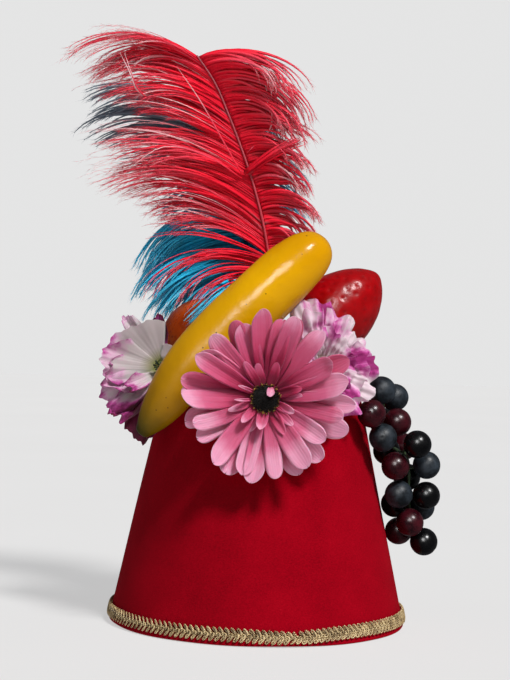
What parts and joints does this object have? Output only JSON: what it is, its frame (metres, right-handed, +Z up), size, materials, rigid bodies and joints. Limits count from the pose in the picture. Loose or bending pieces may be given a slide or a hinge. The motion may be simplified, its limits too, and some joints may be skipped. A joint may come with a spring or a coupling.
{
  "type": "fruit hat",
  "caption": "Tapered felt hat with a braided rim, dressed with imitation fruit, grapes, fabric flowers and tall ostrich plumes; worn on the head or stood on its rim.",
  "frame": {"origin": "centre of the crown's open rim, on the surface that the hat stands on", "axes": "+Z up out of the crown's top, -Y towards the front with the pink flower, +X to the grapes' side"},
  "size_m": [0.2454, 0.1933, 0.373],
  "materials": {
    "felt_red": "matt wool felt",
    "gimp_gold": "corded gimp braid",
    "banana_yellow": "lacquered foam",
    "orange_peel": "lacquered foam, pitted",
    "strawberry_red": "lacquered foam, pitted",
    "petal_pink": "pressed polyester petals",
    "eye_brown": "flocked dark eye",
    "petal_white": "pressed polyester petals, white with magenta edges",
    "stem_green": "plastic coated wire",
    "grape_black": "gloss",
    "grape_red": "gloss",
    "grape_slate": "satin with bloom",
    "plume_red": "dyed ostrich feather",
    "plume_blue": "dyed ostrich feather"
  },
  "bodies": {
    "root": {"crown": "felt_red", "braid": "gimp_gold", "banana": "banana_yellow", "orange": "orange_peel", "strawberry": "strawberry_red", "strawberry_pick": "stem_green", "gerbera_back_petals": "petal_pink", "gerbera_front_petals": "petal_pink", "gerbera_inner_petals": "petal_pink", "gerbera_eye": "eye_brown", "gerbera_stem": "stem_green", "left_bloom_petals": "petal_white", "left_bloom_stamens": "stem_green", "left_bloom_stem": "stem_green", "right_bloom_outer_petals": "petal_white", "right_bloom_middle_petals": "petal_white", "right_bloom_inner_petals": "petal_white", "right_bloom_stem": "stem_green", "grape_stem": "stem_green", "red_plume": "plume_red", "blue_plume": "plume_blue", "grape_01": "grape_slate", "grape_02": "grape_slate", "grape_03": "grape_red", "grape_04": "grape_red", "grape_05": "grape_slate", "grape_06": "grape_black", "grape_07": "grape_red", "grape_08": "grape_slate", "grape_09": "grape_black", "grape_10": "grape_slate", "grape_11": "grape_black", "grape_12": "grape_red", "grape_13": "grape_black", "grape_14": "grape_black", "grape_15": "grape_red", "grape_16": "grape_black", "grape_17": "grape_black", "grape_18": "grape_slate", "grape_19": "grape_red"}
  },
  "joints": []
}
